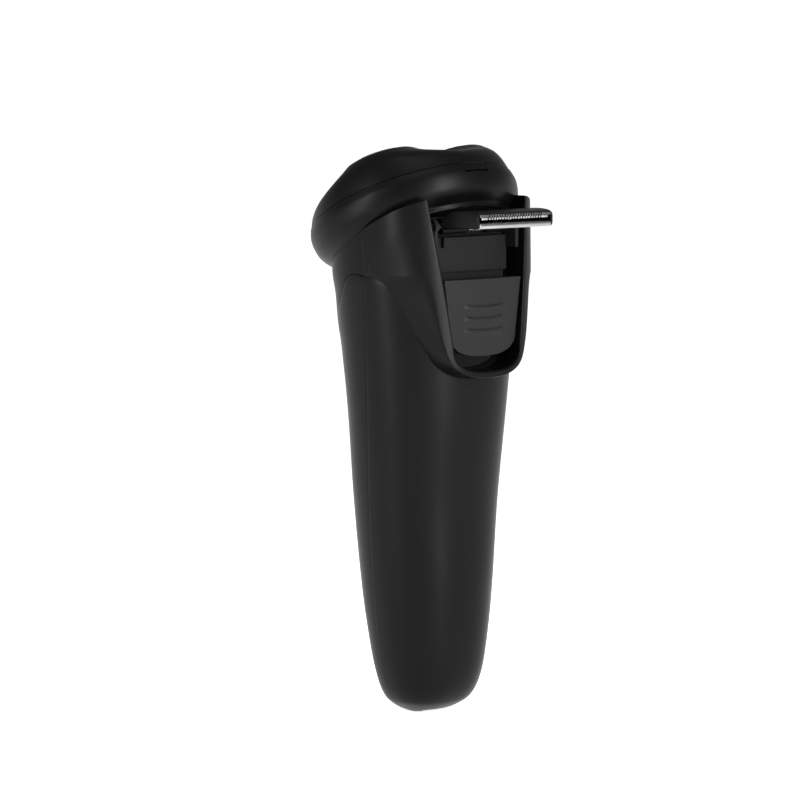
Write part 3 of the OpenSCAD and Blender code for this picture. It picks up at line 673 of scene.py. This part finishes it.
def make_rear_shroud(side_rows=40, foot_rows=90, across=44):
    t = 0.5 - 0.5 * np.cos(math.pi * np.linspace(0, 1, across))
    a, z = surround_grid(t, side_rows, foot_rows)
    skin = section(a, z, raised=True)
    core = section(a, z, raised=True, inset=SURROUND_DEPTH)
    # Below the shoulder the outer border falls onto the handle, softly at the side and steeply under the bay
    row = np.arange(len(z))
    foot_share = np.clip((row - side_rows) / foot_rows, 0, 1)[:, None]
    start = 0.25 + 0.4 * smoothstep(foot_share / 0.7)
    fall_share = np.clip((t[None, :] - start) / (1 - start), 0, 1)
    steep = smoothstep(foot_share / 0.6)
    drop_share = (1 - steep) * smoothstep(fall_share) + steep * fall_share**2.4
    drop_share = drop_share * smoothstep((row / side_rows - 0.3) / 0.8)[:, None]
    on_body = np.minimum(body_depth(skin[..., 0], z, 0.0) - UNDER_BODY, skin[..., 1])
    skin[..., 1] += (on_body - skin[..., 1]) * drop_share
    # The bay's side of the wall goes straight in, and the borders are rolled over
    straight = skin.copy()
    straight[..., 1] = np.minimum(body_depth(skin[..., 0], z, WALL), skin[..., 1] - 0.8)
    in_foot = smoothstep((row - side_rows) / (0.3 * foot_rows))[:, None]
    keep = smoothstep(t / 0.5)[None, :] * (1 - in_foot * (1 - smoothstep((1 - t) / 0.3)[None, :]))
    core = straight * (1 - keep[..., None]) + core * keep[..., None]
    # No inner point may lie across the bay's edge, where the slider runs
    core[..., 0] = np.maximum(core[..., 0], skin[:, :1, 0] + 0.03 * (t > 0))
    width = np.linalg.norm(np.diff(skin, axis=1), axis=-1)
    along = np.concatenate([np.zeros((len(z), 1)), np.cumsum(width, axis=1)], axis=1)
    inwards = core - skin
    inwards /= np.linalg.norm(inwards, axis=-1, keepdims=True)
    drop = roll_off(along[:, -1:] - along, OUTER_LIP) + roll_off(along, BAY_LIP)
    skin = skin + inwards * drop[..., None]
    mirror = np.array([-1, 1, 1])
    skin = np.concatenate([skin, skin[-2::-1] * mirror])
    core = np.concatenate([core, core[-2::-1] * mirror])
    dress(raw_object("rear_surround", thick(skin, core)), "handle", TRIM,
          ["rear_shroud"], 0.22, bevel_angle=50)


# ---- Head ----

# Height along the head's axis, radius
BOWL = np.array([
    [-11.2, 25.6], [-9.9, 25.9], [-9.1, 27.0], [-8, 28.2], [-6, 29.4], [-2.5, 30], [0, 29.5],
])
GUARD_HOLE = 10.5
TAB_HALF, TAB_GAP, TAB_SWING = 4.0, 0.12, 1.95
FRAME_RADIUS, VALLEY, CREST = 29.15, 4.5, 10.35
FRAME_FOOT, CREST_HALF, FALL, RIM_POWER = 0.3, 10.6, 7.2, 22
FRAME_RIM_INSIDE, FRAME_UNDERSIDE = 27.3, 2.1


def lobes(a):
    """The head is a very slightly three-sided round."""
    return 1 - 0.003 * (1 - np.cos(3 * (a - math.pi / 6)))


def make_head_base():
    heights = np.linspace(BOWL[0, 0], 0, 40)
    outer = [(float(curve(BOWL, h, 1)), h) for h in heights]
    inside = [(27.8, 0), (28.2, -1.2), (28.3, -2.5), (28.1, -4.4), (27.2, -5.5), (26.2, -5.8),
              (13, -5.8), (0, -5.8), (0, -7), (25.2, -7), (25.2, -11.2)]
    bowl = turned(outer + inside, 192, lobes)
    obj = raw_object("hair_chamber", moved(bowl, head_to_row))
    pin = row_to_head(np.array(box_middle("head_hinge_pin")) / MM)
    half = TAB_HALF + TAB_GAP
    notch = box_part((-half, 27, pin[2]), (half, 33, 2))
    turning = turned([(0, -half), (TAB_SWING, -half), (TAB_SWING, half), (0, half)], 64)
    turning = moved(
        turning, lambda p: np.stack([p[:, 2], p[:, 0] + pin[1], p[:, 1] + pin[2]], axis=-1))
    key_hole = box_part((-5.8, -32, -5.5), (5.8, -24, -1.1))
    carve(obj, [moved(part, head_to_row) for part in (notch, turning, key_hole)])
    posts = []
    for i in (1, 2, 3):
        x, y = cutter_centre(i)
        post = turned([(1.7, -6.9), (3.5, -6.9), (3.9, -5.9), (3.4, -5.2), (3.4, -3.4), (3.2, -3.2),
                       (1.7, -3.2)], 48)
        posts.append(moved(post, lambda p, x=x, y=y: head_to_row(p + [x, y, 0])))
    ribs = []
    for k in range(6):
        a = math.radians(60 * k)
        c, s = math.cos(a), math.sin(a)
        rib = box_part((18.5, -0.4, -5.9), (26.9, 0.4, -4.9))
        ribs.append(moved(rib, lambda p, c=c, s=s: head_to_row(np.stack(
            [p[:, 0] * c - p[:, 1] * s, p[:, 0] * s + p[:, 1] * c, p[:, 2]], axis=-1))))
    dress(obj, "handle", TRIM, ["head_base"], 0.22)
    extra = raw_object("chamber_posts", joined(*posts, *ribs))
    dress(extra, "handle", TRIM, bevel=0.1)


def frame_height(x, y):
    """Height of the head's top skin: a raised rim round each guard that falls into the valleys."""
    near = np.min([np.hypot(x - cx, y - cy) for cx, cy in map(cutter_centre, (1, 2, 3))], axis=0)
    height = VALLEY + (CREST - VALLEY) * np.exp(-np.maximum(near - CREST_HALF, 0) / FALL)
    rim = 1 - np.clip(np.hypot(x, y) / FRAME_RADIUS, 0, 1) ** RIM_POWER
    return FRAME_FOOT + (height - FRAME_FOOT) * rim


def make_head_frame(rings=70, spokes=216):
    a = np.linspace(0, 2 * math.pi, spokes, endpoint=False)
    share = np.sin(np.linspace(0, math.pi / 2, rings))
    r = FRAME_RADIUS * share[None, :] * np.ones((spokes, 1))
    x, y = r * np.cos(a)[:, None], r * np.sin(a)[:, None]
    top = np.stack([x, y, frame_height(x, y)], axis=-1)
    hollow = r < FRAME_RIM_INSIDE
    under_r = np.where(hollow, np.minimum(r, FRAME_RIM_INSIDE - 0.1), r)
    under = np.stack([under_r * np.cos(a)[:, None], under_r * np.sin(a)[:, None],
                      np.where(hollow, FRAME_UNDERSIDE, FRAME_FOOT)], axis=-1)
    stretch = lobes(a)[:, None, None] * np.array([1, 1, 0]) + np.array([0, 0, 1])
    cover = thick(top * stretch, under * stretch, wrap_u=True)
    obj = raw_object("head_top", moved(cover, head_to_row))
    holes = []
    for i in (1, 2, 3):
        cx, cy = cutter_centre(i)
        stepped = [(0, 0), (11.6, 0), (11.6, 3.9), (GUARD_HOLE, 3.9), (GUARD_HOLE, 12), (0, 12)]
        holes.append(moved(
            turned(stepped, 120), lambda p, cx=cx, cy=cy: head_to_row(p + [cx, cy, 0])))
    carve(obj, holes)
    dress(obj, "head_top", TRIM, ["head_frame"], 0.18)
    heights = np.linspace(-2.15, 0, 12)
    ring = [(float(curve(BOWL, h, 1)), h) for h in heights]
    ring += [(29.1, 0.5), (27.7, 0.5), (27.6, 0), (27.6, -2.15)]
    tab = raw_object("hinge_and_catch", moved(turned(ring, 192, lobes), head_to_row))
    carve(tab, [moved(box_part((-TAB_HALF, 26, -3), (TAB_HALF, 32, 2)), head_to_row)], "INTERSECT")
    catch = moved(joined(box_part((-2.5, -27.2, -4.4), (2.5, -26.2, 2.2)),
                         box_part((-2.5, -26.3, -4.4), (2.5, -25.3, -3.5))), head_to_row)
    dress(tab, "head_top", TRIM, bevel=0.12)
    dress(raw_object("catch_arm", catch), "head_top", TRIM, bevel=0.12)


# Radius, height along the head's axis
GUARD_SKIN = [
    (11.2, 3.0), (11.2, 3.6), (10.25, 3.62), (10.2, 4.2), (10.2, 9.2), (10.12, 9.65), (9.9, 10.1),
    (9.5, 10.5), (9.2, 10.7), (8.6, 10.88), (7.9, 10.98), (7.2, 11.0), (6.6, 10.92), (6.1, 10.75),
    (5.75, 10.5), (5.5, 10.35), (5.2, 10.3), (4.6, 10.3), (4.4, 10.16), (4.1, 10.16), (3.9, 10.3),
    (0.0, 10.45),
]
GUARD_WALL = 0.42
GUARD_SLOTS = 84
SLOT_INNER, SLOT_OUTER, SLOT_LOWEST = 6.0, 9.95, 9.5


def masked_wall(outer, inner, solid):
    """Closed wall between two grids that wrap in u, left open where solid is False for a cell."""
    nu, nv = outer.shape[:2]
    k = nu * nv
    faces = []
    for u in range(nu):
        for v in range(nv - 1):
            if not solid[u, v]:
                continue
            a, b = u * nv + v, (u + 1) % nu * nv + v
            faces.append((a, b, b + 1, a + 1))
            faces.append((a + 1 + k, b + 1 + k, b + k, a + k))
            if v == 0 or not solid[u, v - 1]:
                faces.append((b, a, a + k, b + k))
            if v < nv - 2 and not solid[u, v + 1]:
                faces.append((a + 1, b + 1, b + 1 + k, a + 1 + k))
            if not solid[u - 1, v]:
                faces.append((a, a + 1, a + 1 + k, a + k))
            if not solid[(u + 1) % nu, v]:
                faces.append((b + 1, b, b + k, b + 1 + k))
    return np.concatenate([outer.reshape(-1, 3), inner.reshape(-1, 3)]), faces


def make_guard(i):
    profile = np.array(GUARD_SKIN)
    tangent = np.gradient(profile, axis=0)
    normal = np.stack([-tangent[:, 1], tangent[:, 0]], axis=-1)
    normal /= np.linalg.norm(normal, axis=1, keepdims=True)
    inside = profile + normal * GUARD_WALL
    inside[0] = (10.3, 3.0)
    inside[1] = (9.9, 3.3)
    inside[:, 0] = np.maximum(inside[:, 0], 0)
    inside[-1] = (0, 9.9)
    # Four cells for each slot: one open and three solid
    per_slot = 4
    a = np.linspace(0, 2 * math.pi, GUARD_SLOTS * per_slot, endpoint=False)
    grids = [np.stack([
        p[None, :, 0] * np.cos(a)[:, None],
        p[None, :, 0] * np.sin(a)[:, None],
        np.broadcast_to(p[None, :, 1], (len(a), len(p))),
    ], axis=-1) for p in (profile, inside)]
    solid = np.ones((len(a), len(profile) - 1), bool)
    middle = (profile[:-1, 0] + profile[1:, 0]) / 2
    slotted = (middle < SLOT_OUTER) & (middle > SLOT_INNER) & (profile[:-1, 1] > SLOT_LOWEST)
    for k in range(GUARD_SLOTS):
        solid[k * per_slot, slotted] = False
    cx, cy = cutter_centre(i)
    part = moved(masked_wall(*grids, solid), lambda p: head_to_row(p + [cx, cy, 0]))
    dress(raw_object(f"slotted_guard_{i}", part), f"guard_unit_{i}", GUARD,
          [f"guard_{i}"], sharp_angle=32)


# ---- Controls and light window on the handle ----


def make_power_button():
    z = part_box("power_button")[0].z / MM + KEY_FLANGE
    skin = [(0, 13.9), (1.8, 13.9), (1.8, 15.6), (KEY_FLANGE, 15.6), (KEY_FLANGE, 16.4), (7.5, 16.4),
            (7.5, 20.5), (7.42, 20.8), (7.2, 20.98), (6.8, 21.08), (6.3, 21.1), (6.1, 20.95),
            (5.9, 20.95), (5.7, 21.12), (5.2, 21.1), (3.5, 21.0), (1.8, 20.94), (0, 20.92)]
    part = moved(turned(skin, 120), lambda p: np.stack([p[:, 0], -p[:, 2], p[:, 1] + z], axis=-1))
    dress(raw_object("power_key_cap", part), "power_key", BUTTON,
          ["power_button"], sharp_angle=50)


def make_light_window():
    low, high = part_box("light_window")
    outline = np.array(rounded_outline(4.4, 1.1, 1.09, 10)) + [0, (box_middle("light_window") / MM).z]
    part = prism(outline, low.y / MM, high.y / MM, 1)
    dress(raw_object("light_lens", part), "handle", WINDOW,
          ["light_window"], 0.3)


def make_release_button():
    middle = -3.3
    cap = prism(rounded_outline(5.5, 1.9, 0.9), -30.4, -28.1, 1)
    obj = raw_object("release_key", moved(cap, lambda p: head_to_row(p + [0, 0, middle])))
    grooves = []
    for k in (-1, 0, 1):
        groove = box_part((-3.6, -31, middle + k - 0.18), (3.6, -30.15, middle + k + 0.18))
        grooves.append(moved(groove, head_to_row))
    carve(obj, grooves)
    dress(obj, "release", TRIM, ["release_button"], 0.22)


# ---- Trimmer ----


def hinge_to_row(points):
    return np.asarray(points, float) + HINGE


TRIM_HALF, TRIM_REACH = 13.7, 17.3
CAP_WALL = 0.8
BARREL_PLACE = 8


def make_trimmer_cover():
    top = [(3.2, 0.95), (3.15, 2.0), (3.6, 2.7), (4.6, 3.35), (5.6, 3.85), (7, 4.25), (9, 4.52),
           (11, 4.62), (13, 4.6), (14.8, 4.45), (16, 4.25), (16.7, 4.02), (16.75, 3.9),
           (13.3, 3.88), (13.3, 0.95)]
    roof = prism(top, -TRIM_HALF + 0.9, TRIM_HALF - 0.9, 0)
    obj = raw_object("trimmer_cap", moved(roof, hinge_to_row))
    carve(obj, [moved(box_part((-12.4, 6.2, 0), (12.4, 14, 3.5)), hinge_to_row)])
    cheek = [(2.5, 0.1), (2.3, 1.6), (3.2, 2.6), (4.6, 3.4), (5.6, 3.9), (7, 4.3), (9, 4.57),
             (11, 4.67), (13, 4.65), (14.8, 4.5), (16.2, 4.2), (17.0, 3.7), (17.25, 3.0),
             (17.28, 1.2), (17.1, 0.35), (16.4, -0.05), (10, -0.1), (4.5, -0.1)]
    cheeks = [prism(cheek, *sorted((s * TRIM_HALF, s * (TRIM_HALF - CAP_WALL))), 0)
              for s in (-1, 1)]
    dress(obj, "trimmer", TRIM, ["trimmer_cover"], 0.16, bevel_angle=30)
    sides = raw_object("trimmer_cheeks", moved(joined(*cheeks), hinge_to_row))
    dress(sides, "trimmer", TRIM, bevel=0.3, bevel_angle=35)


def make_trimmer_arm():
    pieces = []
    for s in (-1, 1):
        middle = s * BARREL_PLACE
        barrel = turned([(0.95, -4.6), (2.05, -4.6), (2.3, -4.35), (2.3, 4.35), (2.05, 4.6),
                         (0.95, 4.6)], 64)
        pieces.append(moved(
            barrel, lambda p, x=middle: np.stack([p[:, 2] + x, p[:, 0], p[:, 1]], axis=-1)))
        web = prism([(0, -0.9), (3.0, -0.9), (4.6, -0.12), (4.6, 0.6), (3.2, 1.6), (1.6, 2.0),
                     (1.3, 1.3), (1.3, -0.6)], middle - 4.5, middle + 4.5, 0)
        pieces.append(web)
    pieces.append(box_part((-TRIM_HALF + CAP_WALL, 2.8, -0.1), (TRIM_HALF - CAP_WALL, 13.6, 0.9)))
    post = turned([(0, 0.4), (1, 0.4), (1, 3.0), (0.85, 3.1), (0, 3.1)], 40)
    pieces.append(moved(post, lambda p: p + [0, 8.8, 0]))
    for x in (-8, -2.7, 2.7, 8):
        pieces.append(box_part((x - 0.4, 4.0, -0.55), (x + 0.4, 13.2, 0.2)))
    dress(raw_object("trimmer_carriage", moved(joined(*pieces), hinge_to_row)), "trimmer", TRIM,
          ["trimmer_arm"], 0.1, bevel_angle=35)


def toothed(half, back, front, depth, low, high, tooth_half=10.2, pitch=0.95, gap=0.42):
    """Blade plate with a row of square-cut teeth along its front edge."""
    count = int(2 * tooth_half / pitch)
    outline = [(-half, back), (-half, front)]
    for k in range(count):
        x = (k - (count - 1) / 2) * pitch
        outline += [(x - gap / 2, front), (x - gap / 2, front - depth),
                    (x + gap / 2, front - depth), (x + gap / 2, front)]
    outline += [(half, front), (half, back)]
    return prism(outline, low, high, 2)


def make_trimmer_blades():
    inner = TRIM_HALF - CAP_WALL - 0.05
    bar = prism([(13.6, -0.08), (16.7, -0.08), (17.1, 0.05), (17.3, 0.35), (17.3, 1.15),
                 (17.1, 1.42), (16.8, 1.5), (13.6, 1.5)], -inner, inner, 0)
    dress(raw_object("polished_bar", moved(bar, hinge_to_row)), "trimmer", BLADE,
          ["trimmer_bar"], 0.08, bevel_angle=60)
    comb = toothed(inner, 13.6, TRIM_REACH, 1.5, 3.1, 3.85)
    dress(raw_object("toothed_comb", moved(comb, hinge_to_row)), "trimmer", COMB,
          ["trimmer_comb"], 0.05)
    blade = toothed(inner - 0.9, 13.6, TRIM_REACH - 0.35, 1.8, 2.4, 3.0)
    obj = raw_object("sliding_blade", moved(blade, hinge_to_row))
    carve(obj, [moved(box_part((-1.05, 13, 2), (1.05, 15, 4)), hinge_to_row)])
    dress(obj, "trimmer_blade", CUTTER, ["trimmer_cutter"], 0.05)


# ---- Thumb slider ----

SLIDER_TRAVEL = JOINTS["slider_travel"]["range_m"][1] / MM
SLIDER_GAP = 0.2
SLIDER_BACK = 20.4
GRIP_BARS = 3


def slider_face(x, z):
    """Depth of the slider's thumb side: a slight crown with curved grip bars."""
    depth = 24.35 - 0.0042 * x**2 - 0.00028 * (z - 112) ** 2
    for k in range(GRIP_BARS):
        middle = 108.8 + 3.25 * k + 0.011 * x**2
        bar = np.exp(-(((z - middle) / 0.72) ** 4)) * smoothstep((7.3 - np.abs(x)) / 1.4)
        depth = depth + 0.42 * bar
    return depth


def make_trimmer_slider(columns=121, side_rows=110, foot_rows=34):
    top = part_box("trimmer_slider")[1].z / MM
    lift = SLIDER_TRAVEL + SLIDER_GAP
    theta = np.linspace(math.pi / 2, 0, foot_rows, endpoint=False)
    z = np.concatenate([
        BAY_FOOT_Z + lift - (BAY_FOOT_DROP - SLIDER_GAP) * spower(np.sin(theta), BAY_ROUND),
        np.linspace(BAY_FOOT_Z + lift, top, side_rows),
    ])
    half = np.concatenate([
        (BAY_FOOT_HALF - SLIDER_GAP) * spower(np.cos(theta), BAY_ROUND),
        bay_half(z[foot_rows:] - lift) - SLIDER_GAP,
    ])
    half[0] = 0.02
    s = np.sin(np.linspace(-math.pi / 2, math.pi / 2, columns))
    x = half[None, :] * s[:, None]
    zz = np.broadcast_to(z[None, :], x.shape)
    face = np.stack([x, slider_face(x, zz), zz], axis=-1)
    back = face.copy()
    back[..., 1] = SLIDER_BACK
    obj = raw_object("thumb_slider", thick(face, back))
    dress(obj, "slider", SLIDER, ["trimmer_slider"], 0.45, bevel_angle=55,
          segments=4)
    tongue = prism(np.array(rounded_outline(6, 5, 2)) + [0, 112], 16.6, 20.6, 1)
    dress(raw_object("slider_tongue", tongue), "slider", SLIDER, bevel=0.2)


# ---- CAD nodes that stay, with their materials ----

KEPT = {
    # This grey is darker than the parts' own tone: it carries painted shade for the trimmer bay
    INNER_AND_PAINTED_SHADE: ["trimmer_bay", "trimmer_bracket", "guard_retainer", "gearbox_cover", "motor_cradle",
            "chassis"],
    PIN: ["head_hinge_pin", "trimmer_hinge_pin", "trimmer_spring", "gearbox_screws",
          "chassis_screws"],
    CUTTER: ["cutter_1", "cutter_2", "cutter_3"],
    GEAR: ["spindle_1", "spindle_2", "spindle_3", "drive_gear_1", "drive_gear_2", "drive_gear_3",
           "trimmer_lever"],
    SEAL: ["spindle_seals", "socket_seal"],
    CAN: ["motor_can", "charging_socket"],
    COPPER: ["motor_rotor"],
    BRASS: ["motor_pinion", "battery_contacts"],
    LEAD: ["motor_leads"],
    CELL: ["battery_cell"],
    BOARD: ["circuit_board"],
    CHIP: ["board_parts", "power_switch"],
}


def dress_kept_nodes():
    for material, names in KEPT.items():
        for name in names:
            NODES[name].data.materials.clear()
            NODES[name].data.materials.append(material)


# ---- Stage, light and camera ----

VIEW_AZIMUTH, VIEW_ELEVATION = math.radians(140), math.radians(6.5)
VIEW_DISTANCE = 0.9
VIEW_SIDE = 800
PIXELS_PER_MM = 3.56
# Where the middle of the shaver stands in the view: its height, and pixels right of and below the centre
MIDDLE_Z, MIDDLE_RIGHT, MIDDLE_BELOW = 80, 27, 28
FLOOR_HALF = 60000


def make_camera():
    right = Vector((math.cos(VIEW_AZIMUTH), math.sin(VIEW_AZIMUTH), 0))
    ahead = Vector((-math.sin(VIEW_AZIMUTH) * math.cos(VIEW_ELEVATION),
                    math.cos(VIEW_AZIMUTH) * math.cos(VIEW_ELEVATION), -math.sin(VIEW_ELEVATION)))
    up = right.cross(ahead)
    middle = Vector((0, 0, MIDDLE_Z * MM))
    aim = middle - right * (MIDDLE_RIGHT / PIXELS_PER_MM * MM) + up * (MIDDLE_BELOW / PIXELS_PER_MM * MM)
    data = bpy.data.cameras.new("camera")
    data.sensor_width = 36
    data.lens = PIXELS_PER_MM / MM * VIEW_DISTANCE / VIEW_SIDE * data.sensor_width
    data.clip_start, data.clip_end = 0.01, 100
    camera = bpy.data.objects.new("camera", data)
    camera.location = aim - ahead * VIEW_DISTANCE
    camera.rotation_euler = ahead.to_track_quat("-Z", "Y").to_euler()
    bpy.context.scene.collection.objects.link(camera)
    bpy.context.scene.camera = camera


def make_floor():
    m = Nodes("floor_white")
    m.link(m.colours(m.noise(3), (0.93, 0.93, 0.93), (0.96, 0.96, 0.96)), m.shader.inputs["Base Color"])
    m.shader.inputs["Roughness"].default_value = 0.9
    m.shader.inputs["Specular IOR Level"].default_value = 0.1
    m.shader.inputs["Emission Color"].default_value = (1, 1, 1, 1)
    m.shader.inputs["Emission Strength"].default_value = 0.75
    obj = raw_object("floor", box_part((-FLOOR_HALF, -FLOOR_HALF, -20), (FLOOR_HALF, FLOOR_HALF, -0.05)))
    obj.data.materials.append(m.material)


def area_light(name, place, target, size, power):
    data = bpy.data.lights.new(name, "AREA")
    data.shape = "RECTANGLE"
    data.size, data.size_y = size
    data.energy = power
    light = bpy.data.objects.new(name, data)
    light.location = place
    light.rotation_euler = (Vector(target) - Vector(place)).to_track_quat("-Z", "Y").to_euler()
    bpy.context.scene.collection.objects.link(light)


def make_lights():
    """A dim studio that is pale near the horizon, with a soft strip on each side of the camera."""
    world = bpy.data.worlds.new("studio")
    bpy.context.scene.world = world
    world.use_nodes = True
    tree = world.node_tree
    place = tree.nodes.new("ShaderNodeTexCoord")
    split = tree.nodes.new("ShaderNodeSeparateXYZ")
    fade = tree.nodes.new("ShaderNodeMapRange")
    fade.inputs["From Min"].default_value = 0.03
    fade.inputs["From Max"].default_value = 0.2
    fade.inputs["To Min"].default_value = 1.1
    fade.inputs["To Max"].default_value = 0.3
    tree.links.new(place.outputs["Generated"], split.inputs["Vector"])
    tree.links.new(split.outputs["Z"], fade.inputs["Value"])
    tree.nodes["Background"].inputs["Color"].default_value = (1, 1, 1, 1)
    tree.links.new(fade.outputs["Result"], tree.nodes["Background"].inputs["Strength"])
    middle = (0, 0, 0.08)
    right = Vector((math.cos(VIEW_AZIMUTH), math.sin(VIEW_AZIMUTH), 0))
    back = Vector((math.sin(VIEW_AZIMUTH), -math.cos(VIEW_AZIMUTH), 0))
    strip = (0.12, 0.7)
    area_light("left_strip", -right * 0.62 + back * 0.42 + Vector((0, 0, 0.2)), middle, strip, 6)
    area_light("right_strip", right * 0.5 + back * 0.62 + Vector((0, 0, 0.22)), middle, strip, 12)
    area_light("top_soft", back * 0.2 + Vector((0, 0, 0.9)), middle, (0.5, 0.5), 1.5)


make_camera()
make_front_shell()
make_rear_shell()
make_front_collar()
make_rear_shroud()
make_head_base()
make_head_frame()
for guard_index in (1, 2, 3):
    make_guard(guard_index)
make_power_button()
make_light_window()
make_release_button()
make_trimmer_cover()
make_trimmer_arm()
make_trimmer_blades()
make_trimmer_slider()
dress_kept_nodes()
make_floor()
make_lights()
bpy.context.scene.view_settings.view_transform = "Standard"
